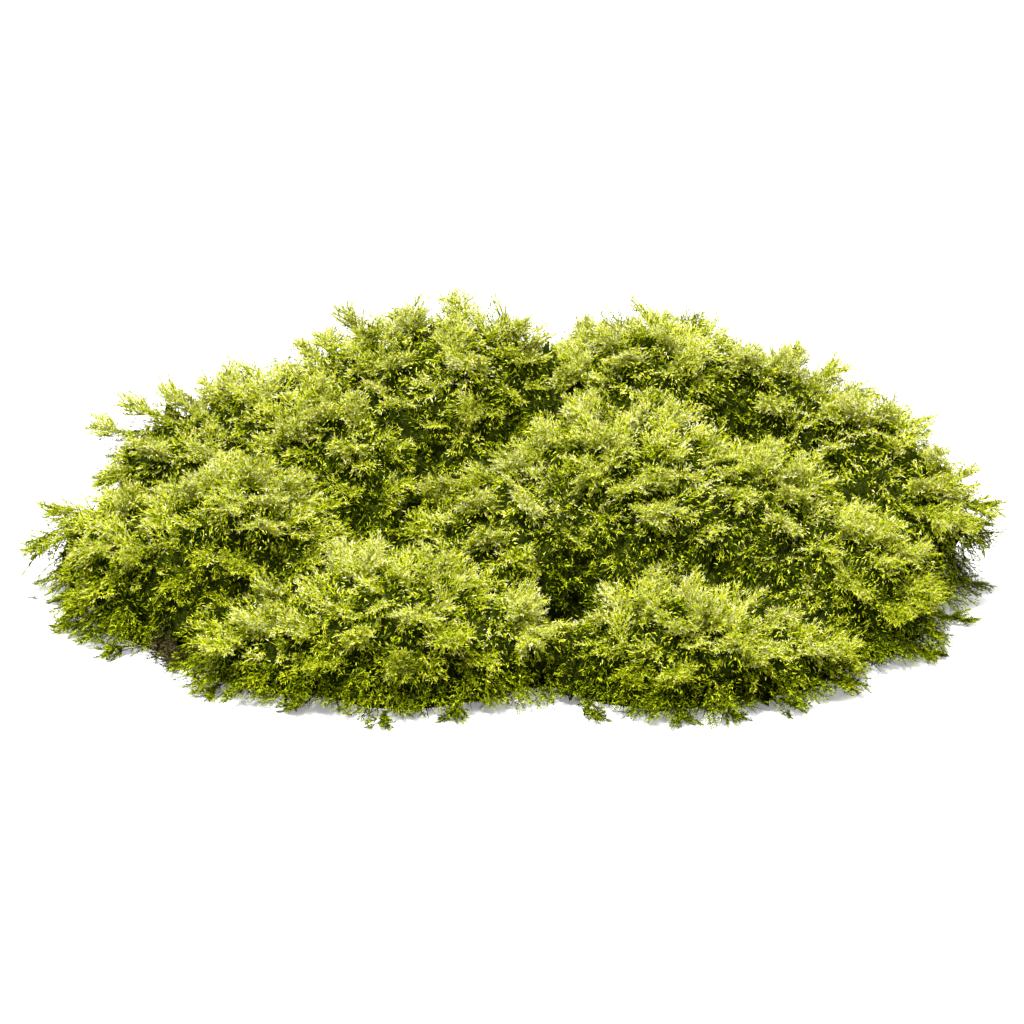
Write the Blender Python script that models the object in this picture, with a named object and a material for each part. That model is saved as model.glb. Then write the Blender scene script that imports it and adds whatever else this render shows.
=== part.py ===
"""A low, wide clump of feathery moss, cut off flat where it grew on the ground.

Rounded tufts of moss crowd together on a thin mat of old brown growth, and single shoots trail from the
mat's rim over the surface around it. Each tuft is covered with pointed sprays, and tall shoots stand out
of the highest crowns.

+X is to the viewer's right, +Y away from the viewer and +Z up. The origin is on the surface that the
clump rests on, under the middle of its bounding box.
"""

import math
import random

import bmesh
import bpy
from mathutils import Vector, noise

MM = 0.001

# ---------------------------------------------------------------------------------------------
# Driving dimensions. Angles are in degrees, and compass angles turn from +X towards +Y.
# ---------------------------------------------------------------------------------------------
MAT_THICKNESS = 4.0 * MM
MAT_INSET = 9.0 * MM  # how far the mat's rim lies inside the tufts that stand on it
MAT_CORNERS = 44
MAT_ROUNDING = (0.8 * MM, 1.6 * MM)  # how far the rim draws in at the bottom and at the top

GAP = 0.3 * MM  # between neighbours that touch
TUFT_FOOT = MAT_THICKNESS + GAP  # the height at which the tufts are cut off, on the mat
LOWEST_CENTRE = TUFT_FOOT + 3.0 * MM  # of a tuft's dome
DRAW_IN = 0.25  # how much a tuft narrows below its dome, as a share of the depth
DEEPEST = 2.0  # how far it reaches below its centre before it is cut off, in radii of the dome

BLEND_IN_MOUND = 9.0 * MM  # over which the tufts of a mound run into each other
BLEND_OF_MOUNDS = 3.0 * MM
TAKEN_IN = 2.0 * MM  # by which all of the clump's surface is then drawn in
MOST_SWELLING = 14.0 * MM  # beyond a tuft's own dome, where it runs into its neighbours
SWELLING_STEP = 0.5 * MM
LUMPS = ((34.0 * MM, 5.0 * MM), (15.0 * MM, 2.0 * MM))  # the wavelength and height of its swellings

SPRAY_SPACING = 13.8 * MM  # between the sprays that cover a tuft
SPRAY_JITTER = 0.25  # how far a spray is out of its regular place, as a share of the spacing
SPRAY_LENGTH = (2.0 * MM, 6.0 * MM)  # from the dome to the spray's tip
SPRAY_LEAN = 0.24  # how far a tip leans at most, as a share of the spacing
LEAN_WAYS = 12  # the number of ways round in which a spray can be moved or leant
HOLLOW_DEPTH = 3.2 * MM  # of the hollows between sprays, below the dome

TALL_SHOOT_FOOT = 3.3 * MM  # its radius where it leaves the tuft
TALL_SHOOT_SIDES = 5
TALL_SHOOT_ROOM = 2.4  # between its axis and the nearest sprays, in radii of its foot
TALL_SHOOT_COLLAR = 1.5  # between its axis and the nearest hollows, in radii of its foot

# Each tuft, in millimetres: name, mound, place across and back, radius of its dome, height of its crown.
# A mound is a group of tufts that have grown into each other.
TUFTS = (
    ("front_left_tuft", "front_left", -79, -78, 28, 25),
    ("front_middle_left_tuft", "front_left", -38, -80, 41, 46),
    ("front_centre_tuft", "front_left", -1, -84, 23, 30),
    ("front_middle_right_tuft", "front_right", 54, -84, 38, 34),
    ("front_right_foot_tuft", "front_right", 90, -83, 26, 22),
    ("front_right_tuft", "centre", 113, -44, 36, 43),
    ("left_foot_tuft", "left", -123, -32, 29, 40),
    ("left_middle_tuft", "left", -90, -26, 41, 58),
    ("centre_tuft", "centre", 40, -10, 52, 74),
    ("centre_left_tuft", "centre", -6, -32, 38, 55),
    ("right_middle_tuft", "centre", 84, -20, 39, 58),
    ("far_left_tuft", "left", -142, 4, 24, 36),
    ("left_shoulder_tuft", "left_back", -120, 32, 33, 56),
    ("left_back_tuft", "left_back", -90, 52, 36, 68),
    ("middle_back_left_tuft", "left_back", -56, 16, 36, 72),
    ("back_left_tuft", "back_left", -61, 62, 33, 75),
    ("back_crest_left_tuft", "back_left", -20, 44, 46, 94),
    ("back_crest_right_tuft", "back_right", 45, 46, 46, 91),
    ("back_right_tuft", "back_right", 98, 42, 40, 77),
    ("right_shoulder_tuft", "right", 120, 26, 34, 66),
    ("far_right_tuft", "right", 142, -6, 25, 50),
    ("rear_left_tuft", "rear", -66, 84, 34, 50),
    ("rear_middle_tuft", "rear", 2, 90, 42, 60),
    ("rear_right_tuft", "rear", 74, 82, 38, 55),
)

# Tall shoots that stand out of the crowns: tuft, compass angle, angle above the surface, and length
# in millimetres beyond the dome
TALL_SHOOTS = (
    ("back_crest_left_tuft", 89, 75, 8),
    ("back_crest_left_tuft", 125, 70, 7),
    ("back_crest_left_tuft", 41, 67, 7),
    ("back_crest_left_tuft", 21, 50, 8),
    ("back_left_tuft", 120, 76, 13),
    ("back_left_tuft", 135, 66, 7),
    ("back_crest_right_tuft", 130, 70, 7),
    ("back_crest_right_tuft", 81, 75, 7),
    ("back_crest_right_tuft", 17, 52, 7),
    ("back_right_tuft", 129, 69, 5),
    ("back_right_tuft", 17, 53, 8),
    ("right_shoulder_tuft", 81, 74, 7),
    ("right_shoulder_tuft", 26, 61, 5),
    ("right_shoulder_tuft", 7, 38, 5),
    ("left_back_tuft", 65, 72, 7),
    ("left_back_tuft", 140, 66, 7),
    ("left_shoulder_tuft", 133, 70, 11),
    ("left_shoulder_tuft", 154, 60, 11),
    ("left_shoulder_tuft", 172, 42, 11),
    ("far_left_tuft", 165, 50, 7),
    ("far_left_tuft", 177, 30, 8),
    ("far_left_tuft", -173, 8, 9),
    ("far_right_tuft", 6, 39, 8),
    ("far_right_tuft", -6, 10, 8),
    ("rear_left_tuft", 130, 50, 8),
    ("rear_middle_tuft", 80, 60, 8),
    ("rear_middle_tuft", 110, 28, 7),
    ("rear_right_tuft", 60, 55, 8),
)

# Shoots that trail on the surface from under the tufts: compass angle, and how far the tip reaches from
# the middle of the clump in millimetres
TRAILING_SHOOTS = (
    (184, 169),
    (193, 163),
    (204, 151),
    (212, 134),
    (224, 138),
    (237, 132),
    (251, 130),
    (261, 118),
    (283, 124),
    (295, 130),
    (302, 139),
    (310, 144),
    (321, 144),
    (336, 156),
    (349, 166),
    (2, 173),
    (38, 168),
    (75, 146),
    (112, 146),
    (146, 156),
)
TRAILING_BEND = 14.0  # how far a trailing shoot turns aside
TRAILING_STEPS = 8
TRAILING_WIDTH = 2.6 * MM  # half the width across its side shoots, near its foot
TRAILING_STEM = 1.1 * MM  # half the width between them
TRAILING_HEIGHT = 3.2 * MM
TRAILING_SWEEP = 1.9 * MM  # how far the side shoots point forward
TRAILING_TAPER = 0.8  # the share of its width and height that it has lost at its tip
TRAILING_TAPER_CURVE = 1.6  # above 1, it narrows mostly near the tip
TRAILING_DIP = 0.75  # the share of its height that it keeps at its side shoots
TRAILING_SIDE_LEVEL = 0.35  # the height of its side shoots, as a share of its own

# The old growth shows where the mat swells out from under the tufts
BARE_EDGE_COMPASS = 211.0
BARE_EDGE_WIDTH = 13.0
BARE_EDGE_REACH = 7.0 * MM

MOSS_GREEN = (0.30, 0.34, 0.03, 1.0)
TRAILING_GREEN = (0.22, 0.26, 0.03, 1.0)
OLD_BROWN = (0.10, 0.075, 0.03, 1.0)

CUT_TOLERANCE = 0.001 * MM
GOLDEN_ANGLE = math.pi * (3.0 - math.sqrt(5.0))


def clear_scene():
    for old in list(bpy.data.objects):
        bpy.data.objects.remove(old)


def make_material(name, colour, roughness):
    material = bpy.data.materials.new(name)
    material.use_nodes = True
    surface = material.node_tree.nodes["Principled BSDF"]
    surface.inputs["Base Color"].default_value = colour
    surface.inputs["Roughness"].default_value = roughness
    surface.inputs["Metallic"].default_value = 0.0
    return material


def add_object(name, shape, place, parent):
    """An object of this shape, with its faces pointing out, at a place under its parent."""
    bmesh.ops.recalc_face_normals(shape, faces=shape.faces)
    mesh = bpy.data.meshes.new(name)
    shape.to_mesh(mesh)
    shape.free()
    made = bpy.data.objects.new(name, mesh)
    made.location = place
    made.parent = parent
    bpy.context.scene.collection.objects.link(made)
    return made


# ---------------------------------------------------------------------------------------------
# Directions
# ---------------------------------------------------------------------------------------------
def direction_of(compass, above=0.0):
    compass = math.radians(compass)
    above = math.radians(above)
    level = math.cos(above)
    return Vector((level * math.cos(compass), level * math.sin(compass), math.sin(above)))


def directions_at(radius, spacing):
    """Unit vectors whose points lie evenly on a sphere of this radius, about one spacing apart."""
    count = round(4.0 * math.pi * radius**2 / spacing**2)
    found = []
    for i in range(count):
        height = 1.0 - (2.0 * i + 1.0) / count
        level = math.sqrt(1.0 - height**2)
        angle = i * GOLDEN_ANGLE
        found.append(Vector((level * math.cos(angle), level * math.sin(angle), height)))
    return found


def ring_round(direction, opening, count):
    """Directions on a small circle round one direction. opening is its radius on the unit sphere."""
    across = direction.orthogonal().normalized()
    along = direction.cross(across)
    turns = [math.tau * step / count for step in range(count)]
    return [
        (direction + opening * (math.cos(turn) * across + math.sin(turn) * along)).normalized()
        for turn in turns
    ]


def directions_between(directions):
    """The middle of each triangle that these directions make with their nearest neighbours."""
    shape = bmesh.new()
    for direction in directions:
        shape.verts.new(direction)
    bmesh.ops.convex_hull(shape, input=shape.verts)
    middles = [face.calc_center_median().normalized() for face in shape.faces]
    shape.free()
    return middles


def is_apart(direction, others, distance):
    return all((direction - other).length > distance for other in others)


def blended(distances, blend):
    """The least of some distances, and less than that where several are about as small."""
    return -blend * math.log(sum(math.exp(-distance / blend) for distance in distances))


# ---------------------------------------------------------------------------------------------
# Tufts
# ---------------------------------------------------------------------------------------------
class Tuft:
    """A lumpy dome covered with sprays, in its own share of the clump."""

    def __init__(self, number, name, mound, across, back, radius, crown):
        self.name = name
        self.mound = mound
        self.radius = radius * MM
        self.sphere_centre = Vector((across, back, crown - radius)) * MM
        self.centre = self.sphere_centre.copy()
        self.centre.z = max(self.centre.z, LOWEST_CENTRE)
        self.crown = crown * MM - self.centre.z
        self.random = random.Random(number)
        self.neighbours = []
        self.walls = [(Vector((0.0, 0.0, TUFT_FOOT)), Vector((0.0, 0.0, -1.0)))]

    def share_space_with(self, other):
        """Sets a wall where this dome's sphere meets the other's, as a point and an outward direction."""
        apart = other.sphere_centre - self.sphere_centre
        reach = apart.length
        if reach > self.radius + other.radius + 2.0 * SPRAY_LENGTH[1]:
            return
        self.neighbours.append(other)
        meets_at = (reach**2 + self.radius**2 - other.radius**2) / (2.0 * reach)
        outward = apart / reach
        self.walls.append((self.sphere_centre + outward * (meets_at - GAP / 2.0), outward))

    def is_inside(self, point):
        """True where a point, seen from the tuft's centre, lies in its share of the clump."""
        return all((wall - self.centre - point).dot(outward) > 0.0 for wall, outward in self.walls)

    def dome(self, direction):
        """How far the tuft's own dome is from its centre. Its sides draw in below the centre."""
        if direction.z < 0.0:
            level = math.sqrt(1.0 - direction.z**2)
            narrowed = level - DRAW_IN * direction.z
            return self.radius / max(narrowed, 1.0 / DEEPEST)
        flattened = Vector((direction.x, direction.y, direction.z * self.radius / self.crown))
        return self.radius / flattened.length

    def outside(self, point):
        """How far a point of the clump lies outside the tuft's own dome."""
        off = point - self.centre
        return off.length - self.dome(off.normalized())

    def surface(self, direction):
        """The tuft's surface seen from its centre: its dome, where it runs into those of its neighbours."""
        reach = self.dome(direction)
        farthest = reach + MOST_SWELLING
        reach -= sum(height for _, height in LUMPS)
        while reach < farthest:
            point = self.centre + direction * reach
            lump = sum(height * noise.noise(point / size) for size, height in LUMPS)
            if self.outside_clump(point) + TAKEN_IN > lump:
                break
            reach += SWELLING_STEP
        return direction * reach

    def outside_clump(self, point):
        """How far a point lies outside the mounds round this tuft, where they run into each other."""
        mounds = {}
        for tuft in [self] + self.neighbours:
            mounds.setdefault(tuft.mound, []).append(tuft.outside(point))
        return blended([blended(apart, BLEND_IN_MOUND) for apart in mounds.values()], BLEND_OF_MOUNDS)

    def scattered(self, direction, spread):
        """A direction moved aside by at most this distance on the dome."""
        ring = ring_round(direction, self.random.uniform(0.0, spread) / self.radius, LEAN_WAYS)
        return self.random.choice(ring)

    def tip(self, direction, length):
        """The tip of a spray that leans a little. It is shorter where it would reach a neighbour."""
        leaning = self.scattered(direction, SPRAY_LEAN * SPRAY_SPACING)
        foot = self.surface(direction).length
        while length > 0.0 and not self.is_inside(leaning * (foot + length)):
            length -= MM
        return leaning * (foot + length)

    def build(self, parent, material):
        shape = bmesh.new()
        places = {}
        opening = TALL_SHOOT_FOOT / self.radius
        tall = [row[1:] for row in TALL_SHOOTS if row[0] == self.name]
        tall_directions = [direction_of(compass, above) for compass, above, _ in tall]
        for direction, (_, _, length) in zip(tall_directions, tall):
            places[shape.verts.new(direction)] = self.tip(direction, length * MM)
            for foot in ring_round(direction, opening, TALL_SHOOT_SIDES):
                places[shape.verts.new(foot)] = self.surface(foot)

        sprays = []
        for direction in directions_at(self.radius, SPRAY_SPACING):
            direction = self.scattered(direction, SPRAY_JITTER * SPRAY_SPACING)
            if is_apart(direction, tall_directions, TALL_SHOOT_ROOM * opening):
                sprays.append(direction)
        for direction in sprays:
            places[shape.verts.new(direction)] = self.tip(direction, self.random.uniform(*SPRAY_LENGTH))
        for direction in directions_between(sprays + tall_directions):
            if is_apart(direction, tall_directions, TALL_SHOOT_COLLAR * opening):
                surface = self.surface(direction)
                places[shape.verts.new(direction)] = surface - surface.normalized() * HOLLOW_DEPTH

        # The points are joined on the unit sphere and then moved out, so that no face crosses another
        bmesh.ops.convex_hull(shape, input=shape.verts)
        for vertex, place in places.items():
            vertex.co = place
        tuft = add_object(self.name, shape, self.centre, parent)
        tuft.data.materials.append(material)

        share = tuft.modifiers.new("Share of the clump", "BOOLEAN")
        share.operation = "INTERSECT"
        share.solver = "EXACT"
        share.object = self.build_share(parent)
        return tuft

    def build_share(self, parent):
        """A hidden block that holds the tuft's share of the clump, with a flat wall to each neighbour."""
        shape = bmesh.new()
        bmesh.ops.create_cube(shape, size=2.0 * DEEPEST * self.radius)
        for wall, outward in self.walls:
            everything = shape.verts[:] + shape.edges[:] + shape.faces[:]
            cut = bmesh.ops.bisect_plane(
                shape,
                geom=everything,
                dist=CUT_TOLERANCE,
                plane_co=wall - self.centre,
                plane_no=outward,
                clear_outer=True,
            )
            rim = [part for part in cut["geom_cut"] if isinstance(part, bmesh.types.BMEdge)]
            if rim:
                bmesh.ops.edgeloop_fill(shape, edges=rim)
        block = add_object("share_of_" + self.name, shape, self.centre, parent)
        block.hide_render = True
        block.display_type = "WIRE"
        return block


# ---------------------------------------------------------------------------------------------
# The mat of old growth, and the shoots that trail from it
# ---------------------------------------------------------------------------------------------
def tufts_reach(tufts, compass):
    """How far the tufts reach from the middle of the clump at the mat's level, at a compass angle."""
    ray = direction_of(compass)
    reach = 0.0
    for tuft in tufts:
        depth = tuft.sphere_centre.z - TUFT_FOOT
        if depth > 0.0:
            radius = tuft.radius - DRAW_IN * depth
        else:
            radius = math.sqrt(tuft.radius**2 - depth**2)
        middle = Vector((tuft.centre.x, tuft.centre.y, 0.0))
        along = middle.dot(ray)
        beside_squared = middle.length_squared - along**2
        if beside_squared < radius**2:
            reach = max(reach, along + math.sqrt(radius**2 - beside_squared))
    return reach


def mat_outline(tufts):
    """The mat's reach at each of its corners: inside the tufts, apart from where the old growth shows."""
    reaches = []
    for corner in range(MAT_CORNERS):
        compass = 360.0 * corner / MAT_CORNERS
        off = (compass - BARE_EDGE_COMPASS + 180.0) % 360.0 - 180.0
        bare = BARE_EDGE_REACH * math.exp(-((off / BARE_EDGE_WIDTH) ** 2))
        reaches.append(tufts_reach(tufts, compass) - MAT_INSET + bare)
    return reaches


def corner_point(outline, corner, inset=0.0):
    return direction_of(360.0 * corner / MAT_CORNERS) * (outline[corner % MAT_CORNERS] - inset)


def is_clear_of_mat(outline, point):
    """True where a point lies outside the mat's rim, beyond the gap."""
    corner = math.floor(math.degrees(math.atan2(point.y, point.x)) / 360.0 * MAT_CORNERS)
    near, far = corner_point(outline, corner), corner_point(outline, corner + 1)
    outward = (far - near).cross(Vector((0.0, 0.0, 1.0))).normalized()
    return (point - near).dot(outward) > 2.0 * GAP


def build_mat(outline, parent, material):
    """A low slab with a rounded rim that follows the tufts' outline."""
    shape = bmesh.new()
    levels = ((0.0, MAT_ROUNDING[0]), (MAT_THICKNESS / 2.0, 0.0), (MAT_THICKNESS, MAT_ROUNDING[1]))
    rings = []
    for height, inset in levels:
        lift = Vector((0.0, 0.0, height))
        corners = [corner_point(outline, corner, inset) + lift for corner in range(MAT_CORNERS)]
        rings.append([shape.verts.new(corner) for corner in corners])
    join_rings(shape, rings)
    mat = add_object("brown_mat", shape, (0.0, 0.0, 0.0), parent)
    mat.data.materials.append(material)
    return mat


def join_rings(shape, rings):
    """Faces between rings of as many points each, and one at either end."""
    for near, far in zip(rings, rings[1:]):
        for i in range(len(near)):
            after = (i + 1) % len(near)
            shape.faces.new((near[i], near[after], far[after], far[i]))
    shape.faces.new(reversed(rings[0]))
    shape.faces.new(rings[-1])


def trailing_sections(start, compass, length, bend):
    """The sections of a flattened stem, each with a foot, two sides and a back.

    Every other section is drawn out sideways and forwards into a pair of side shoots.
    """
    place = direction_of(compass) * start
    sections = []
    for step in range(TRAILING_STEPS + 1):
        share = step / TRAILING_STEPS
        along = direction_of(compass + bend * (2.0 * share - 0.5))
        beside = Vector((-along.y, along.x, 0.0))
        taper = 1.0 - TRAILING_TAPER * share**TRAILING_TAPER_CURVE
        drawn_out = step % 2 == 1 and step < TRAILING_STEPS
        half = taper * (TRAILING_WIDTH if drawn_out else TRAILING_STEM)
        forward = along * (TRAILING_SWEEP * taper if drawn_out else 0.0)
        back = Vector((0.0, 0.0, TRAILING_HEIGHT * taper * (TRAILING_DIP if drawn_out else 1.0)))
        side = place + forward + back * TRAILING_SIDE_LEVEL
        sections.append((place, side + beside * half, place + back, side - beside * half))
        place = place + along * (length / TRAILING_STEPS)
    return sections


def build_trailing_shoot(number, outline, compass, reach, parent, material):
    """A shoot that lies on the surface, from the mat's rim to a tip like the end of a feather."""
    bend = TRAILING_BEND * (1 if number % 2 else -1)
    start = min(outline)
    sections = trailing_sections(start, compass, reach * MM - start, bend)
    while not all(is_clear_of_mat(outline, point) for section in sections for point in section):
        start += GAP
        sections = trailing_sections(start, compass, reach * MM - start, bend)

    shape = bmesh.new()
    join_rings(shape, [[shape.verts.new(point) for point in section] for section in sections])
    bmesh.ops.triangulate(shape, faces=shape.faces)
    shoot = add_object(f"trailing_shoot_{number:02d}", shape, (0.0, 0.0, 0.0), parent)
    shoot.data.materials.append(material)
    return shoot


def stand_on_origin(clump, pieces):
    """Moves the whole clump so that the origin is under the middle of its bounding box."""
    bpy.context.view_layer.update()
    graph = bpy.context.evaluated_depsgraph_get()
    corners = []
    for piece in pieces:
        evaluated = piece.evaluated_get(graph)
        corners += [evaluated.matrix_world @ Vector(corner) for corner in evaluated.bound_box]
    for axis in range(2):
        along = [corner[axis] for corner in corners]
        clump.location[axis] = -(min(along) + max(along)) / 2.0


def main():
    clear_scene()
    moss_green = make_material("moss_green", MOSS_GREEN, 0.75)
    trailing_green = make_material("trailing_green", TRAILING_GREEN, 0.75)
    old_brown = make_material("old_brown", OLD_BROWN, 0.9)

    clump = bpy.data.objects.new("clump", None)
    bpy.context.scene.collection.objects.link(clump)

    tufts = [Tuft(number, *row) for number, row in enumerate(TUFTS)]
    for tuft in tufts:
        for other in tufts:
            if other is not tuft:
                tuft.share_space_with(other)
    pieces = [tuft.build(clump, moss_green) for tuft in tufts]
    outline = mat_outline(tufts)
    pieces.append(build_mat(outline, clump, old_brown))
    for number, (compass, reach) in enumerate(TRAILING_SHOOTS, start=1):
        pieces.append(build_trailing_shoot(number, outline, compass, reach, clump, trailing_green))
    stand_on_origin(clump, pieces)


main()
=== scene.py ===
"""Dresses the moss clump's solids as living moss.

One leaf and one bare stem are modelled. Arrays of them make leafy twigs, twigs make feathery
shoots, and shoots grow in bunches from the old growth inside each tuft, with their tips on the
tuft's solid. The old growth is dark as old stems are, and darker still as painted shade. Single shoots
trail over the floor, and the mat under the tufts is a felt of old brown stems.
"""

import math

import bpy
import numpy as np
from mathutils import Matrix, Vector
from mathutils.bvhtree import BVHTree


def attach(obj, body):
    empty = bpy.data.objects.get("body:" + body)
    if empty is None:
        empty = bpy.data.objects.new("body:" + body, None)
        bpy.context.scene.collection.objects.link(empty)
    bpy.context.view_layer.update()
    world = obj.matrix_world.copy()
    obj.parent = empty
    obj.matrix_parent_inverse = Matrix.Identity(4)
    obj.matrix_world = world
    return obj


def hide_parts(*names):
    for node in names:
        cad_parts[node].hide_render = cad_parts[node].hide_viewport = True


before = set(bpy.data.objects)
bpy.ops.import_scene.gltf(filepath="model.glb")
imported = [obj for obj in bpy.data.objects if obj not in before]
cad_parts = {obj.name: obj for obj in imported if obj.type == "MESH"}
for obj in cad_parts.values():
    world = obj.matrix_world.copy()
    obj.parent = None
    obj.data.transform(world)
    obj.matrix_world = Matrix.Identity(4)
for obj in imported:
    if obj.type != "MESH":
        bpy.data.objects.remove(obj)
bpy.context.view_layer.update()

MM = 0.001
UP = np.array((0.0, 0.0, 1.0))
ALONG_X = np.array((1.0, 0.0, 0.0))
ALONG_Y = np.array((0.0, 1.0, 0.0))
LEVEL = np.array((1.0, 1.0, 0.0))  # what is kept of a direction when it is laid level
EDGES = ((0, 1), (1, 0), (1, 2), (2, 1), (2, 0), (0, 2))  # of a triangle, from corner to corner

# ---------------- Sizes of the living moss, in metres, and angles in degrees ----------------
LEAF_LENGTH = 1.45 * MM
LEAF_WIDTH = 0.46 * MM
LEAF_SPREAD = (58.0, 28.0)  # from the stem, at its foot and at its tip
LEAF_TONES = 0.36  # how unevenly young the leaves are
LEAF_FADE = 0.45  # how much older a leaf's foot looks than its tip
YOUNGEST = 0.90  # before the painted light and shade of a shoot's place on the clump add to that
LEAF_LENGTHS = (0.75, 1.25)  # shares of the usual length, from leaf to leaf
LEAF_WIDTHS = (0.8, 1.2)
LEAF_SIZES = ((0.0, 0.5, 0.85, 1.0), (0.9, 1.0, 0.9, 0.7))  # at places along a stem
LEAF_STRAY = 0.25  # from its usual spread, in radians
LEAF_ROLL = 0.36  # how unevenly the leaves' upper sides face

STEM_RADIUS = 0.26 * MM
STEM_TIP = 0.35  # of that radius
TWIG_RADIUS = 0.15 * MM
TWIG_LENGTHS = ((0.0, 0.25, 0.6, 1.0), (0.62, 1.0, 0.72, 0.22))  # at places along the leafy stem
TWIG_VARIETY = (0.7, 1.2)  # shares of that length, from twig to twig
LAST_TWIG = 0.93  # its place along the stem
TWIG_ANGLE = (40.0, 60.0)  # to the stem
TWIG_CLOSING = 14.0  # how much smaller that angle is at the stem's tip
TWIG_BEND = (8.0, 26.0)
TWIG_LIFT = 6.0  # out of the feather's plane
TWIG_YOUTH = 0.30  # how much younger a twig is at its tip

LAYER_DEPTH = 6.5 * MM  # from a tuft's surface down to its old growth
MEETING_DEPTH = 3.0 * MM  # straight down, where the tuft meets its neighbours
FOOT_DEPTH = 7.0 * MM  # inwards, at the floor
BURIED_DEPTH = 0.6 * MM  # inside the old growth, where nobody sees a leaf
SPRIG_SPACING = 4.9 * MM
SPRIG_LENGTH = 8.6 * MM
BRANCH_LENGTH = 12.5 * MM
LEADER_LENGTH = 17.0 * MM
PLUME_LENGTH = 22.0 * MM
PLUME_WIDTHS = (4.6, 3.4)  # of its own twigs and its side shoots' twigs, in millimetres
TRAILING_WIDTHS = (4.6, 3.0)
SIDE_SHOOTS = 6  # on a plume
SIDE_SHOOT_STRETCH = 0.5  # the share of the stem on which they stand
SIDE_SHOOT_ANGLE = (32.0, 50.0)
SIDE_SHOOT_LENGTH = (12.0 * MM, 8.0 * MM)  # at the stem's foot, and how much less at its tip
SIDE_SHOOT_BEND = (0.1, 0.4)
SHOOT_SCALES = (0.85, 1.15)
SPRIG_SCALES = (0.8, 1.2)
SPRIG_STRAY = 0.22  # how unevenly the sprigs point
SPRIG_ROLL = 0.35  # how unevenly their fronts face
SPRIG_TO_LIGHT = 0.7  # how strongly a sprig in full shade turns to the sky that it sees
TIP_SCATTER = (-1.2 * MM, 1.4 * MM)  # of the sprigs' tips, from the canopy outwards

# A spray is a bunch of shoots that part from one foot and lean downhill. Its back rises from uphill to its
# tip and ends there, over the shade of the next one.
SPRAY_SPACING = 12.0 * MM
SPRAY_DEPTH = 11.0 * MM  # of its foot, below its tip
LEADING_LEAN = 8.0 * MM  # of its tip, downhill from its foot, where it is a tip of the solid
SPRAY_LEAN = 15.0 * MM  # the same, between those
SPRAY_BODY = 12.0 * MM  # how far its back reaches uphill from its tip
SPRAY_SIDE = 6.5 * MM
SPRAY_END = 3.5 * MM
SPRAY_RISE = (-1.1 * MM, 1.1 * MM)  # of the canopy from the surface, between sprays and on them
SPRAY_PAINTED_LIGHT_AND_SHADE = (-0.04, 0.02)  # painted shade and light that this adds to the leaves' colour: darker between the sprays, lighter on them
SPRAY_FAN = 26.0  # between a spray's leader and the branches beside it
FAN_STRAY = 8.0
BRANCH_TURNS = (-1.0, 1.0)  # of the branches beside a leader, in fans
PAIR_TURNS = (-0.5, 0.5)  # of a pair of branches without one
PLUME_TURNS = (-0.7, 0.0, 0.7)
TURNED_SHORTER = 0.12  # how much less far a shoot reaches that is turned by one fan
SPRAY_LIFT = 0.2  # how far a spray points up, as a share of its depth
SPRAY_STRAY = 0.12  # how unevenly the sprays point
FALL_STRAY = 0.35  # how unevenly they lean downhill
SHOOT_ROLL = 0.25  # how unevenly their shoots' fronts face
SCATTER_TRIES = 9  # for each place that a scatter has room for

SKY_LOOKS = 30
SKY_REACH = 70.0 * MM
SKY_START = 1.5 * MM  # above the surface
SKY_SCATTER = 0.55  # of the looks, round a way between up and outwards
SHADE = 0.35  # of the sky; where less is seen, shoots stand further apart
SHADE_SPACING = 1.6  # how much further apart they are where none is seen
FULL_SHADE = 0.01  # of the sky; where less is seen, no shoots stand

# Painted light and shade: what the share of the sky, the height as a share of the tuft's and the upward
# part of the direction add to the leaves' place on the colour ramp, darker in hollows, low down and on
# sides, lighter on open
# tops: how strongly each counts, the value that adds nothing, and the most that counts
LIGHT_COUNTS = (0.95, 0.60, 0.85)
HEIGHT_COUNTS = (0.40, 0.68, 0.75)
FACING_COUNTS = (0.16, 0.70, 1.0)

# Small leaves between the sprigs, by the depth below the tuft's surface at which they stand
FILL_PER_AREA = 0.90 / MM**2
FILL_DEPTH = (0.3 * MM, 4.0 * MM)
# how young they look at the top and the bottom of that depth: older leaves lower down, and painted shade
# deep in the layer
FILL_YOUTH_AND_SHADE = (0.48, -0.04)
FILL_IN_SHADE = 0.5  # how many stand in full shade, as a share of the usual number
FILL_SIZES = (0.8, 1.3)
FILL_STRAY = 0.45
FILL_ROLL = 0.6
LOW_HEIGHT = 16.0 * MM  # above the floor, below which leaves are darkened as painted shade
FOOT_PAINTED_SHADE = -0.30  # painted shade: how much darker they are at the floor

SKIRT_SPACING = 3.8 * MM  # between the shoots that droop from a tuft's lowest edge
SKIRT_LENGTH = 16.0 * MM
SKIRT_HEIGHT = 15.0 * MM  # above the floor, up to which they grow
SKIRT_REACH = (3.5 * MM, 13.5 * MM)  # of their tips, beyond the tuft, at the floor
SKIRT_LESS = 0.6  # the share of it that the highest don't have
SKIRT_SCATTER = 0.55  # of their compass directions, in radians
SKIRT_SCALES = (0.7, 1.15)
SKIRT_TIP = (0.6 * MM, 3.0 * MM)  # above the floor, where they grow there
SKIRT_HANG = 0.25  # how much higher, as a share of the height at which they grow
SKIRT_ROOT = 6.0 * MM  # how deep inside the tuft's surface they come from
TRAILING_RISE = (3.2 * MM, 1.6 * MM)  # of its stem above the floor, at foot and tip
TRAILING_FOOT = 5.0 * MM  # how far it goes back under the clump

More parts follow.
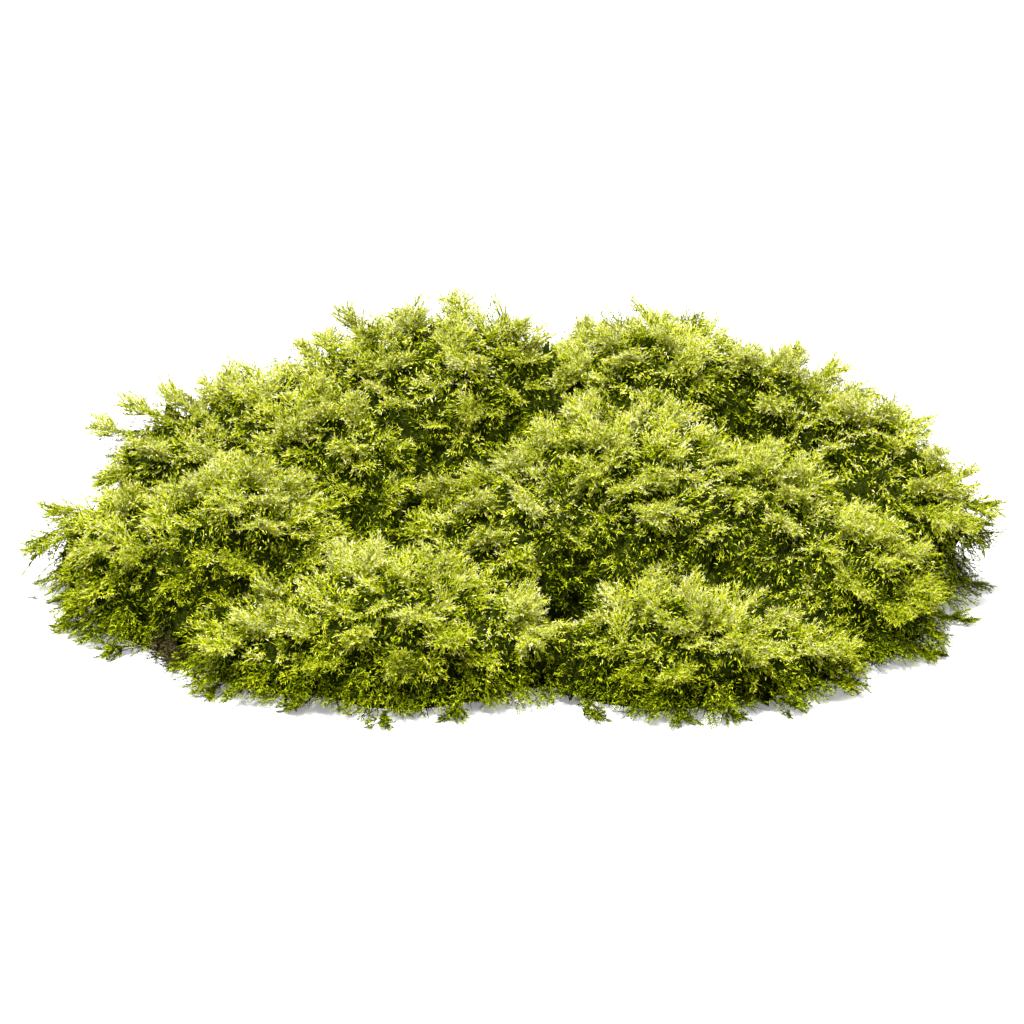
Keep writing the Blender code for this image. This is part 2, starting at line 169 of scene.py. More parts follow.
# Where the clump's old growth shows: the middle of the bare spot and its radius
BARE_SPOT = np.array((-108.0, -70.0, 7.0)) * MM
BARE_RADIUS = 11.0 * MM
OLD_STEMS = 420
MAT_INSET = 5.0 * MM  # from the rim of its solid to its felt
MAT_SHOOTS = 170
MAT_SHOOT_REACH = (2.0 * MM, 8.0 * MM)  # of their tips, beyond the mat's rim
MAT_SHOOT_TIP = (0.8 * MM, 4.5 * MM)  # above the floor
MAT_SHOOT_SCALES = (0.8, 1.15)
MAT_SHOOT_YOUTH = -0.05
OLD_STEM_LENGTH = (7.0 * MM, 14.0 * MM)
OLD_STEM_RADIUS = 0.22 * MM
OLD_STEM_ROOT = (3.0, 7.0)  # how far inside the rim it starts, in millimetres
OLD_STEM_LEVEL = (-1.2, 1.6)  # how far above the middle of the rim, in millimetres
OLD_STEM_RISE = (-0.1, 0.35)
OLD_SPRIGS = 90
OLD_LEAVES_PER_AREA = 0.23 / MM**2
OLD_LEAF_LENGTH = 1.9 * MM
OLD_LEAF_WIDTH = 0.7 * MM
OLD_LEAF_YOUTH = (-0.1, 0.25)
PEAK_HEIGHT = 1.6 * MM  # of a solid's point above those round it, from which it is a tip
TALL_PEAK = 7.5 * MM  # the same, from which a plume stands there
SMOOTH_REACH = 15.0 * MM  # over which a surface's direction is averaged
CUT_FACE = -0.95  # a face that points further down is part of the flat cut
TOUCHING = 1.2 * MM  # a face this near to a neighbour isn't open to the air
RAY_START = 0.05 * MM
MERGED = 0.01 * MM  # closer points of a solid are one
DOME_ROUNDS = 3  # of smoothing, from a solid to the dome under its sprays
FLOOR_CLEARANCE = 0.25 * MM

# Colours from the oldest leaves to the youngest, as (place on the ramp, red, green, blue)
MOSS_COLOURS = (
    (0.0, 0.018, 0.030, 0.002),
    (0.25, 0.165, 0.230, 0.003),
    (0.47, 0.450, 0.525, 0.004),
    (0.68, 0.655, 0.670, 0.016),
    (0.85, 0.740, 0.725, 0.170),
    (1.0, 0.800, 0.780, 0.520),
)
BROWN_COLOURS = (
    (0.0, 0.022, 0.018, 0.005),
    (0.34, 0.095, 0.078, 0.028),
    (0.68, 0.240, 0.205, 0.090),
    (0.85, 0.420, 0.370, 0.190),
)
# Old growth fibres, kept very dark as painted shade under the living shoots
FELT_AND_SHADE_COLOURS = (
    (0.30, 0.006, 0.009, 0.001),
    (0.52, 0.018, 0.026, 0.002),
    (0.72, 0.050, 0.062, 0.004),
)
RAMP_PER_YOUTH = 0.85
TONE_YOUTH = 0.16  # between the shoots of the lightest and the darkest tone
PATCH_YOUTH = 0.4  # the same, of the broad patches
LIGHT_THROUGH = 0.22  # the share that passes through a leaf

# ---------------- View ----------------
CAMERA_AIM = Vector((0.0010, -0.0079, 0.031))
CAMERA_ELEVATION = 19.0
CAMERA_DISTANCE = 1.10
CAMERA_LENS = 110.0

FLOOR_RADIUS = 6.0
WALL_HEIGHT = 8.0
WALL_MIDDLE = 3.9
KEY_PLACE = Vector((-0.3, -0.75, 1.92))
KEY_AIM = Vector((0.0, 0.0, 0.03))
KEY_SIZE = 0.4
KEY_POWER = 94.0
# The sky from the horizon up, as (upward part of the way there, red, green, blue)
SKY_TONES = (
    (0.0, 0.05, 0.055, 0.04),
    (0.02, 0.32, 0.32, 0.32),
    (0.5, 0.80, 0.80, 0.80),
    (1.0, 1.45, 1.45, 1.45),
)


# ---------------- Small helpers ----------------
def unit(vectors):
    """Vectors, one or a stack of them, at length 1."""
    return vectors / np.maximum(np.linalg.norm(vectors, axis=-1, keepdims=True), 1e-12)


def across(vectors, ways):
    """What is left of vectors square to these unit ways."""
    return vectors - (vectors * ways).sum(axis=-1, keepdims=True) * ways


def beside(vector):
    """A direction square to this one."""
    return unit(np.cross(vector, UP if abs(vector[2]) < 0.9 else ALONG_X))


def turned(vector, axis, angle):
    """A vector turned about a unit axis, by an angle in radians."""
    along = axis * (vector @ axis)
    aside = vector - along
    return along + aside * math.cos(angle) + np.cross(axis, aside) * math.sin(angle)


def between(ends, share):
    """The value at this share of the way from one end to the other."""
    return ends[0] + (ends[1] - ends[0]) * share


def triangles_of(points, faces):
    """The triangles' corners, areas and outward directions."""
    corners = points[faces]
    square = np.cross(corners[:, 1] - corners[:, 0], corners[:, 2] - corners[:, 0])
    return corners, np.linalg.norm(square, axis=1) / 2.0, unit(square)


def scattered_on(weights, count, chance):
    """Triangles chosen by their weights, and how much of each of its corners a random place on one has."""
    chosen = chance.choice(len(weights), count, p=weights / weights.sum())
    a, b = np.sqrt(chance.random(count)), chance.random(count)
    return chosen, np.stack((1.0 - a, a * (1.0 - b), a * b), axis=1)


def deselect_all():
    for thing in bpy.context.selected_objects:
        thing.select_set(False)


def taken_apart(thing):
    """An object's points and triangles as arrays. The object itself was only a pattern, and is removed."""
    mesh = thing.data
    mesh.calc_loop_triangles()
    points = np.zeros(len(mesh.vertices) * 3)
    mesh.vertices.foreach_get("co", points)
    faces = np.zeros(len(mesh.loop_triangles) * 3, dtype=np.int64)
    mesh.loop_triangles.foreach_get("vertices", faces)
    bpy.data.objects.remove(thing)
    return points.reshape(-1, 3), faces.reshape(-1, 3)


# ---------------- Modelled patterns ------------------------
def model_leaf():
    """A pointed leaf that lies along +X from the origin, 1 long and 1 wide at its foot."""
    deselect_all()
    bpy.ops.mesh.primitive_circle_add(vertices=3, radius=2.0 / 3.0, fill_type="NGON")
    leaf = bpy.context.active_object
    bpy.ops.object.mode_set(mode="EDIT")
    bpy.ops.transform.rotate(value=math.radians(90.0), orient_axis="Z", center_override=(0.0, 0.0, 0.0))
    bpy.ops.object.mode_set(mode="OBJECT")
    low = min(vertex.co.x for vertex in leaf.data.vertices)
    bpy.ops.object.mode_set(mode="EDIT")
    bpy.ops.transform.translate(value=(-low, 0.0, 0.0))
    bpy.ops.transform.resize(value=(1.0, math.sqrt(3.0) / 2.0, 1.0), center_override=(0.0, 0.0, 0.0))
    bpy.ops.object.mode_set(mode="OBJECT")
    return taken_apart(leaf)


def model_stem(tip_radius, cuts):
    """A bare three-sided stem that stands on the origin and is 1 high. It can be bent where it is cut."""
    deselect_all()
    bpy.ops.mesh.primitive_cone_add(
        vertices=3, radius1=1.0, radius2=tip_radius, end_fill_type="NOTHING", depth=1.0, location=0.5 * UP
    )
    stem = bpy.context.active_object
    bpy.ops.object.transform_apply(location=True)
    for cut in range(1, cuts):
        bpy.ops.object.mode_set(mode="EDIT")
        bpy.ops.mesh.select_all(action="SELECT")
        bpy.ops.mesh.bisect(plane_co=cut / cuts * UP, plane_no=UP)
        bpy.ops.object.mode_set(mode="OBJECT")
    return taken_apart(stem)


LEAF = model_leaf()
SHORT_STEM = model_stem(0.0, 1)
SPRIG_STEM = model_stem(1.0, 2)
LONG_STEM = model_stem(1.0, 4)


# ---------------- Growth made of arrays ----------------
class Growth:
    """Points, triangles and how young each point looks together with its painted light and shade, gathered
    piece by piece.
    """

    def __init__(self):
        self.points, self.faces, self.youth = [], [], []
        self.count = 0

    def add(self, points, faces, youth):
        self.points.append(points)
        self.faces.append(faces + self.count)
        self.youth.append(np.broadcast_to(youth, len(points)))
        self.count += len(points)

    def gathered(self):
        return np.concatenate(self.points), np.concatenate(self.faces), np.concatenate(self.youth)

    def as_part(self, tone):
        """All of it as one part of a piece, laid on the floor where it would be under that."""
        points, faces, youth = self.gathered()
        return above_floor(points), faces, youth, tone, 0


def above_floor(points):
    """Points that would be under the floor are laid on it."""
    points = points.copy()
    points[:, 2] = np.maximum(points[:, 2], FLOOR_CLEARANCE)
    return points


def add_leaves(growth, places, alongs, uprights, lengths, widths, youth):
    """Copies of the leaf. uprights are the directions that the leaves' upper sides face."""
    points, faces = LEAF
    sides = unit(np.cross(uprights, alongs))
    uprights = np.cross(alongs, sides)
    shaped = (
        places[:, None, :]
        + points[None, :, 0:1] * (alongs * lengths[:, None])[:, None, :]
        + points[None, :, 1:2] * (sides * widths[:, None])[:, None, :]
        + points[None, :, 2:3] * (uprights * widths[:, None])[:, None, :]
    )
    copies = len(places)
    all_faces = faces[None] + (np.arange(copies) * len(points))[:, None, None]
    all_youth = youth[:, None] + LEAF_FADE * (points[None, :, 0] - 0.5)
    growth.add(shaped.reshape(-1, 3), all_faces.reshape(-1, 3), all_youth.ravel())


def along_path(path, shares):
    """Places on a path of evenly spaced points, and its directions there, at shares of its length."""
    steps = len(path) - 1
    at = np.clip(np.asarray(shares) * steps, 0.0, steps - 1e-6)
    low = at.astype(int)
    rest = (at - low)[:, None]
    places = path[low] * (1.0 - rest) + path[low + 1] * rest
    tangents = np.gradient(path, axis=0)
    directions = unit(tangents[low] * (1.0 - rest) + tangents[low + 1] * rest)
    return places, directions


def add_stem(growth, pattern, path, radius, tip_share, youth):
    """A bare stem along a path. It narrows to a share of its radius at the tip."""
    points, faces = pattern
    places, directions = along_path(path, points[:, 2])
    side = beside(unit(path[-1] - path[0]))
    sides = unit(np.cross(np.cross(directions, side), directions))
    others = np.cross(directions, sides)
    thick = radius * (1.0 - (1.0 - tip_share) * points[:, 2:3])
    shaped = places + (points[:, 0:1] * sides + points[:, 1:2] * others) * thick
    growth.add(shaped, faces, between(youth, points[:, 2]))


def add_leafy_stretch(growth, path, front, length, start, youth, size, style, chance):
    """Leaves round a path, from a share of its length to its tip, with youth from foot to tip.

    front is the side that the feather shows. At flatness 1 the leaves lie in the feather's plane.
    """
    flatness = style["flatness"]
    count = max(3, round(length * (1.0 - start) / style["leaf_gap"]))
    shares = start + (1.0 - start) * (np.arange(count) + 0.6) / count
    places, directions = along_path(path, shares)
    sides = unit(np.cross(front, directions))
    fronts = np.cross(directions, sides)
    turns = chance.normal(0.35, 0.35 + 1.2 * (1.0 - flatness), count)
    turns = np.where(np.arange(count) % 2 == 0, turns, math.pi - turns)
    outward = np.cos(turns)[:, None] * sides + np.sin(turns)[:, None] * fronts
    spread = np.radians(between(LEAF_SPREAD, shares)) + chance.normal(0.0, LEAF_STRAY, count)
    alongs = np.cos(spread)[:, None] * directions + np.sin(spread)[:, None] * outward
    clasping = np.sin(spread)[:, None] * directions - np.cos(spread)[:, None] * outward
    facing = flatness * fronts + (1.0 - flatness) * clasping
    uprights = unit(facing + chance.normal(0.0, LEAF_ROLL, (count, 3)))
    taper = np.interp(shares, *LEAF_SIZES) * size * style["leaf_size"]
    lengths = LEAF_LENGTH * taper * chance.uniform(*LEAF_LENGTHS, count)
    widths = LEAF_WIDTH * taper * chance.uniform(*LEAF_WIDTHS, count)
    leaf_youth = between(youth, shares) + chance.normal(0.0, LEAF_TONES, count)
    add_leaves(growth, places, alongs, uprights, lengths, widths, np.minimum(leaf_youth, YOUNGEST))


def arched_path(foot, along, bend_to, length, bend, steps):
    """A path that leaves the foot in one direction and arches towards another, by bend in radians."""
    axis = unit(np.cross(along, bend_to))
    path = [foot]
    for step in range(steps):
        direction = turned(along, axis, bend * (step + 0.5) / steps)
        path.append(path[-1] + direction * length / steps)
    return np.array(path)


def add_feather(growth, path, length, front, style, chance):
    """A leafy stem along a path, with leafy twigs to both sides of it, in the plane that front faces."""
    bare, widest, youth = style["bare"], style["widest"], style["youth"]
    add_stem(growth, style["stem"], path, STEM_RADIUS, STEM_TIP, (youth[0] - 0.1, youth[1]))
    stem_youth = (youth[0] + 0.1, youth[1] + 0.25)
    add_leafy_stretch(growth, path, front, length, bare, stem_youth, 1.0, style, chance)
    count = round(length * (1.0 - bare) / style["twig_gap"])
    for twig in range(count):
        share = bare + (LAST_TWIG - bare) * (twig + chance.uniform(0.2, 0.8)) / count
        place, direction = (found[0] for found in along_path(path, [share]))
        side = unit(np.cross(front, direction)) * (1.0 if twig % 2 else -1.0)
        out_of_plane = math.radians(chance.normal(TWIG_LIFT, style["bushiness"]))
        outward = math.cos(out_of_plane) * side + math.sin(out_of_plane) * front
        angle = math.radians(chance.uniform(*TWIG_ANGLE) - TWIG_CLOSING * share)
        along = unit(math.cos(angle) * direction + math.sin(angle) * outward)
        twig_length = widest * np.interp((share - bare) / (1.0 - bare), *TWIG_LENGTHS)
        twig_length *= chance.uniform(*TWIG_VARIETY)
        bend = math.radians(chance.uniform(*TWIG_BEND))
        twig_path = arched_path(place, along, direction, twig_length, bend, 3)
        foot_youth = between(youth, share) + chance.normal(0.0, 0.05)
        ages = (foot_youth, min(1.0, foot_youth + TWIG_YOUTH))
        if style["twig_stems"]:
            add_stem(growth, SHORT_STEM, twig_path, TWIG_RADIUS, 0.0, ages)
        add_leafy_stretch(growth, twig_path, front, twig_length, 0.0, ages, 0.9, style, chance)


def grow_shoot(number, length, arch, style):
    """A feathery shoot that stands on the origin along +Z and shows its front to +Y.

    It arches by arch in radians, to its front or, where that is negative, to its back.
    """
    chance = np.random.default_rng(1000 + number)
    growth = Growth()
    along = turned(UP, ALONG_X, 0.5 * arch)
    stem = arched_path(np.zeros(3), along, ALONG_Y, length, arch, 6)
    add_feather(growth, stem, length, ALONG_Y, style, chance)
    return growth.gathered()


def add_plume(growth, stem, length, front, first_side_shoot, style, side_style, chance):
    """A long feather along a path, with feathery side shoots of its own from a share of its length on."""
    add_feather(growth, stem, length, front, style, chance)
    for side_shoot in range(SIDE_SHOOTS):
        step = SIDE_SHOOT_STRETCH * (side_shoot + chance.uniform(0.2, 0.8)) / SIDE_SHOOTS
        share = first_side_shoot + step
        place, direction = (found[0] for found in along_path(stem, [share]))
        round_stem = chance.normal(0.0, 0.5) + (math.pi if side_shoot % 2 else 0.0)
        side = turned(unit(np.cross(front, direction)), direction, round_stem)
        angle = math.radians(chance.uniform(*SIDE_SHOOT_ANGLE))
        along = math.cos(angle) * direction + math.sin(angle) * side
        reach = (SIDE_SHOOT_LENGTH[0] - SIDE_SHOOT_LENGTH[1] * share) * chance.uniform(*SHOOT_SCALES)
        path = arched_path(place, along, direction, reach, chance.uniform(*SIDE_SHOOT_BEND), 5)
        add_feather(growth, path, reach, front, side_style, chance)


def grow_plume(number):
    """A tall shoot like the others, with side shoots."""
    chance = np.random.default_rng(1000 + number)
    growth = Growth()
    stem = arched_path(np.zeros(3), UP, ALONG_Y, PLUME_LENGTH, chance.uniform(-0.5, 0.3), 6)
    styles = [style_of(PLUME, width) for width in PLUME_WIDTHS]
    add_plume(growth, stem, PLUME_LENGTH, ALONG_Y, 0.36, *styles, chance)
    return growth.gathered()


def style_of(kind, widest):
    """A kind of shoot whose longest twigs are this long, in millimetres."""
    names = "stem twig_stems twig_gap leaf_gap leaf_size bare bushiness flatness youth".split()
    return {**dict(zip(names, kind)), "widest": widest * MM}


# Kinds of shoots: the stem, whether its twigs have stems of their own, how far apart its twigs and its
# leaves stand, the size of its leaves, the bare share of its stem, how far its twigs leave the feather's
# plane in degrees, how flat its leaves lie in that plane, and how young it is at its foot and at its tip
SPRIG = (SPRIG_STEM, False, 1.2 * MM, 0.50 * MM, 1.0, 0.2, 20.0, 0.6, (0.12, 0.52))
BRANCH = (SPRIG_STEM, False, 1.4 * MM, 0.46 * MM, 1.0, 0.24, 20.0, 0.6, (0.12, 0.54))
LEADER = (LONG_STEM, True, 1.5 * MM, 0.42 * MM, 1.0, 0.2, 22.0, 0.55, (0.12, 0.56))
SKIRT = (LONG_STEM, False, 1.25 * MM, 0.50 * MM, 1.0, 0.15, 26.0, 0.5, (0.12, 0.46))
PLUME = (LONG_STEM, False, 1.1 * MM, 0.36 * MM, 0.95, 0.12, 34.0, 0.45, (0.14, 0.54))
TRAILING = (LONG_STEM, True, 0.9 * MM, 0.25 * MM, 0.95, 0.0, 45.0, 0.4, (0.16, 0.50))


def grow_several(first, count, length, arches, kind, widths):
    """Patterns of one kind. arches and widths are their first values, their steps and, for the arches,
    the number of steps after which they start again.
    """
    patterns = []
    for n in range(count):
        arch = arches[0] + arches[1] * (n % arches[2])
        style = style_of(kind, widths[0] + widths[1] * (n % 3))
        patterns.append(grow_shoot(first + n, length, arch, style))
    return patterns


SPRIGS = grow_several(0, 14, SPRIG_LENGTH, (-0.5, 0.1, 11), SPRIG, (2.8, 0.4))
BRANCHES = grow_several(40, 12, BRANCH_LENGTH, (-0.4, 0.1, 9), BRANCH, (4.2, 0.5))
LEADERS = grow_several(20, 8, LEADER_LENGTH, (-0.5, 0.1, 6), LEADER, (6.0, 0.8))
PLUMES = [grow_plume(80 + n) for n in range(8)]
SKIRTS = grow_several(60, 8, SKIRT_LENGTH, (-0.5, 0.1, 5), SKIRT, (5.0, 0.8))


def pick(patterns, scales, chance):
    """One of the patterns, and a scale for it."""
    return patterns[chance.integers(len(patterns))], chance.uniform(*scales)


def add_shoot(parts, pattern, scale, foot, direction, front, youth, number, chance):
    """A copy of a pattern, with its stem in this direction from its foot and its front facing front.

    youth, how young the shoot looks together with the painted light and shade of its place, is added to
    that of its leaves, and number is its material's.
    """
    side = unit(np.cross(front, direction))
    placed = foot + (pattern[0] * scale) @ np.stack((side, np.cross(direction, side), direction))
    parts.append((above_floor(placed), pattern[1], pattern[2] + youth, chance.random(), number))


def on_bare_spot(place, edge, chance):
    """True on the bare spot. Its edge is ragged, between two shares of its radius."""
    return np.linalg.norm(place - BARE_SPOT) < BARE_RADIUS * chance.uniform(*edge)


# ---------------- Where the tufts' solids are open to the air ----------------
def solid_of(node):
    """A copy of a CAD node's mesh with its points merged, as arrays."""
    deselect_all()
    copy = bpy.data.objects.new("pattern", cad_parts[node].data.copy())
    bpy.context.scene.collection.objects.link(copy)
    bpy.context.view_layer.objects.active = copy
    copy.select_set(True)
    bpy.ops.object.mode_set(mode="EDIT")
    bpy.ops.mesh.select_all(action="SELECT")
    bpy.ops.mesh.remove_doubles(threshold=MERGED)
    bpy.ops.object.mode_set(mode="OBJECT")
    return taken_apart(copy)


def tree_of(shapes):
    """One search tree of all these shapes' triangles, and the name of the shape that each belongs to."""
    corners, triangles, owners = [], [], []
    for name, (points, faces) in shapes.items():
        triangles += (faces + len(corners)).tolist()
        corners += points.tolist()
        owners += [name] * len(faces)
    return BVHTree.FromPolygons(corners, triangles), owners


def shade_at(light, height, way):
    """Painted light and shade: what a place's share of the sky, its height as a share of the tuft's and
    the way it faces add to the colour of its leaves, darker in the shade and lighter where the light
    falls.
    """
    total = 0.0
    for value, counts in ((light, LIGHT_COUNTS), (height, HEIGHT_COUNTS), (way[..., 2], FACING_COUNTS)):
        strength, middle, most = counts
        total = total + strength * (np.minimum(value, most) - middle)
    return total


class Surface:
    """The outside of a tuft's solid: its open faces, its sprays' tips, and at each of its points the
    smoothed outward direction, how much of the sky is seen from there, and the way to that sky.
    """

    def __init__(self, node, solids, everything, owners, chance):
        self.points, self.faces = solids[node]
        corners, self.areas, self.normals = triangles_of(self.points, self.faces)
        self.middles = corners.mean(axis=1)
        self.cut = self.normals[:, 2] < CUT_FACE
        self.open = np.array([self.is_open(node, i, everything, owners) for i in range(len(self.faces))])
        self.outward = self.direction(self.points)
        self.light, self.skyward = self.look_up(everything, chance)

    def is_open(self, node, i, everything, owners):
        """True for a face that neither touches a neighbour nor is part of the cut foot."""
        if self.cut[i]:
            return False
        middle, normal = Vector(self.middles[i]), Vector(self.normals[i])
        hit = everything.ray_cast(middle + normal * RAY_START, normal, TOUCHING)
        return hit[0] is None or owners[hit[2]] == node

    def direction(self, places):
        """The surface's outward direction at each place, averaged over its neighbourhood."""
        middles, weights = self.middles[self.open], self.areas[self.open]
        apart = np.linalg.norm(places[:, None] - middles[None], axis=2)
        near = np.exp(-((apart / SMOOTH_REACH) ** 2)) * weights[None]
        return unit(near @ self.normals[self.open])

    def look_up(self, everything, chance):
        """How much of the sky each point sees, from 0 to 1, and the middle of the sky that it sees."""
        seen, ways = np.zeros(len(self.points)), np.zeros((len(self.points), 3))
        looked = np.zeros(len(self.points))
        for face in np.nonzero(self.open)[0]:
            corners = self.faces[face]
            start = Vector(self.middles[face] + self.normals[face] * SKY_START)
            outward = self.outward[corners].mean(axis=0)
            looks = unit(0.5 * UP + 0.5 * outward + chance.normal(0.0, SKY_SCATTER, (SKY_LOOKS, 3)))
            free = [everything.ray_cast(start, Vector(look), SKY_REACH)[0] is None for look in looks]
            seen[corners] += sum(free) / SKY_LOOKS
            ways[corners] += looks[free].sum(axis=0)
            looked[corners] += 1.0
        return seen / np.maximum(looked, 1.0), unit(ways + 0.01 * self.outward)

    def tips(self):
        """The points that stand out from those round them, and how far each does."""
        neighbours = [set() for _ in self.points]
        for face in self.faces:
            for a, b in EDGES:
                neighbours[face[a]].add(face[b])
        closed = set(self.faces[~self.open].ravel())
        candidates = [i for i in range(len(self.points)) if i not in closed]
        outward = self.direction(self.points[candidates])
        found, heights = [], []
        for i, direction in zip(candidates, outward):
            around = self.points[list(neighbours[i])].mean(axis=0)
            height = (self.points[i] - around) @ direction
            if height > PEAK_HEIGHT:
                found.append(self.points[i])
                heights.append(height)
        return np.array(found).reshape(-1, 3), np.array(heights)

    def at_random(self, count, weights, chance):
        """Spots on the open faces."""
        open_faces = np.nonzero(self.open)[0]
        chosen, shares = scattered_on(weights[open_faces], count, chance)
        return Spots(self, self.faces[open_faces[chosen]], shares)

    def scatter(self, spacing, chance, taken):
        """Spots at least this far apart, and more in the shade, also from places already taken."""
        tries = round(self.areas[self.open].sum() / spacing**2 * SCATTER_TRIES)
        spots = self.at_random(tries, self.areas, chance)
        spacings = spacing * np.interp(spots.light, (0.0, SHADE), (SHADE_SPACING, 1.0))
        kept = np.zeros((len(taken) + tries, 3))
        kept[: len(taken)] = taken
        count, found = len(taken), []
        for i in np.nonzero(spots.light > FULL_SHADE)[0]:
            apart = kept[:count] - spots.places[i]
            if count == 0 or np.einsum("ij,ij->i", apart, apart).min() > spacings[i] ** 2:
                kept[count] = spots.places[i]
                count += 1
                found.append(i)
        return Spots(self, spots.corners[found], spots.shares[found])


class Spots:
    """Places on a surface, by the corners of their triangles and how much of each corner they have, with
    what the surface knows there.
    """

    def __init__(self, surface, corners, shares):
        self.corners, self.shares = corners, shares
        self.places, self.ways = self.read(surface.points), self.read(surface.outward)
        self.light, self.skyward = self.read(surface.light), self.read(surface.skyward)
        # painted light and shade: darker where little sky is seen, low on the tuft and on its sides
        self.shade = shade_at(self.light, self.places[:, 2] / surface.points[:, 2].max(), self.ways)

    def read(self, values):
        """Values known at the solid's points, read at the spots."""
        shares = self.shares if values.ndim == 1 else self.shares[:, :, None]
        return (values[self.corners] * shares).sum(axis=1)


class Sprays:
    """The sprays of a tuft: one at each tip of its solid, and others between them."""

    def __init__(self, surface, chance):
        solid_tips, peaks = surface.tips()
        self.is_tall = peaks > TALL_PEAK
        others = surface.scatter(SPRAY_SPACING, chance, solid_tips)
        self.leading = len(solid_tips)
        self.tips = np.concatenate((solid_tips, others.places))
        self.ways = surface.direction(self.tips)
        self.falls = unit(across(chance.normal(0.0, FALL_STRAY, self.tips.shape) - UP, self.ways))
        leans = np.where(np.arange(len(self.tips)) < self.leading, LEADING_LEAN, SPRAY_LEAN)
        self.feet = self.tips - self.ways * SPRAY_DEPTH - self.falls * leans[:, None]

    def cover(self, places):
        """The spray that each place is on, and how full it is there, from 0 at its rim to 1 at its tip."""
        apart = places[:, None] - self.tips[None]
        along = np.einsum("ijk,jk->ij", apart, self.falls)
        out = np.einsum("ijk,jk->ij", apart, self.ways)
        aside = np.sqrt(np.maximum((apart**2).sum(axis=2) - along**2 - out**2, 0.0))
        reach = np.where(along > 0.0, SPRAY_END, SPRAY_BODY)
        distance = np.sqrt((along / reach) ** 2 + (aside / SPRAY_SIDE) ** 2 + (out / SPRAY_DEPTH) ** 2)
        return distance.argmin(axis=1), np.sqrt(1.0 - np.minimum(distance.min(axis=1), 1.0))


def old_growth_of(surface):
    """The dense old growth inside a tuft: its solid, drawn in below the layer of living shoots."""
    points, faces = surface.points.copy(), surface.faces
    moved = np.unique(faces[surface.open].ravel())
    outward = surface.direction(points[moved])
    dome = points.copy()
    for _ in range(DOME_ROUNDS):
        total, seen = np.zeros_like(dome), np.zeros(len(dome))
        for a, b in EDGES:
            np.add.at(total, faces[:, a], dome[faces[:, b]])
            np.add.at(seen, faces[:, a], 1)
        dome[moved] = 0.5 * dome[moved] + 0.5 * (total / seen[:, None])[moved]
    at_foot = np.isin(moved, faces[surface.cut])[:, None]
    at_neighbour = np.isin(moved, faces[~surface.open & ~surface.cut])[:, None] & ~at_foot
    depths = np.where(at_foot, FOOT_DEPTH, LAYER_DEPTH)
    lowered = points[moved] - UP * MEETING_DEPTH
    points[moved] = np.where(at_neighbour, lowered, dome[moved] - outward * depths)
    points[:, 2] = np.maximum(points[:, 2], FLOOR_CLEARANCE)
    return points, faces


# ---------------- Materials ----------------
def add_node(tree, kind, **settings):
    node = tree.nodes.new(kind)
    for name, value in settings.items():
        setattr(node, name, value)
    return node


def set_inputs(node, values):
    for name, value in values.items():
        node.inputs[name].default_value = value


def new_material(name):
    """A material, its nodes and the one of its surface."""
    material = bpy.data.materials.new(name)
    material.use_nodes = True
    return material, material.node_tree, material.node_tree.nodes["Principled BSDF"]


def add_ramp(tree, stops, position):
    """The colour at a position on a ramp. Its stops are (position, red, green, blue)."""
    ramp = add_node(tree, "ShaderNodeValToRGB")
    elements = ramp.color_ramp.elements
    elements.remove(elements[1])
    elements[0].position = stops[0][0]
    elements[0].color = (*stops[0][1:], 1.0)
    for stop in stops[1:]:
        elements.new(stop[0]).color = (*stop[1:], 1.0)
    tree.links.new(position, ramp.inputs["Fac"])
    return ramp.outputs["Color"]


def add_noise(tree, values):
    """The output of a noise texture that keeps its place on the clump."""
    places = add_node(tree, "ShaderNodeTexCoord")
    noise = add_node(tree, "ShaderNodeTexNoise")
    set_inputs(noise, values)
    tree.links.new(places.outputs["Object"], noise.inputs["Vector"])
    return noise.outputs["Fac"]


def add_math(tree, operation, *values, clamp=False):
    """The output of a math node. Its values are numbers or other nodes' outputs."""
    node = add_node(tree, "ShaderNodeMath", operation=operation, use_clamp=clamp)
    for socket, value in zip(node.inputs, values):
        if isinstance(value, float):
            socket.default_value = value
        else:
            tree.links.new(value, socket)
    return node.outputs[0]


def make_moss_material(name, stops):
    """Leaves and stems. Some of the light that falls on them comes out on the other side."""
    material, tree, surface = new_material(name)
    # the leaves' age together with their painted light and shade
    youth = add_node(tree, "ShaderNodeAttribute", attribute_name="youth")
    tone = add_node(tree, "ShaderNodeAttribute", attribute_name="tone")
    patches = add_noise(tree, {"Scale": 28.0, "Detail": 3.0})

    # How far along its ramp of colours a leaf is: how young it looks with the painted light and shade of
    # its place, its
    #     shoot's own tone and broad patches
    shoot_youth = add_math(tree, "MULTIPLY_ADD", tone.outputs["Fac"], TONE_YOUTH, -0.5 * TONE_YOUTH)
    with_tone = add_math(tree, "ADD", youth.outputs["Fac"], shoot_youth)
    patch_youth = add_math(tree, "MULTIPLY_ADD", patches, PATCH_YOUTH, -0.5 * PATCH_YOUTH)
    total = add_math(tree, "ADD", with_tone, patch_youth)
    position = add_math(tree, "MULTIPLY", total, RAMP_PER_YOUTH, clamp=True)

    colour = add_ramp(tree, stops, position)
    tree.links.new(colour, surface.inputs["Base Color"])
    set_inputs(surface, {"Roughness": 0.5, "Specular IOR Level": 0.02})

    through = add_node(tree, "ShaderNodeBsdfTranslucent")
    tree.links.new(colour, through.inputs["Color"])
    mixed = add_node(tree, "ShaderNodeMixShader")
    set_inputs(mixed, {"Fac": LIGHT_THROUGH})
    tree.links.new(surface.outputs["BSDF"], mixed.inputs[1])
    tree.links.new(through.outputs["BSDF"], mixed.inputs[2])
    tree.links.new(mixed.outputs["Shader"], tree.nodes["Material Output"].inputs["Surface"])
    return material


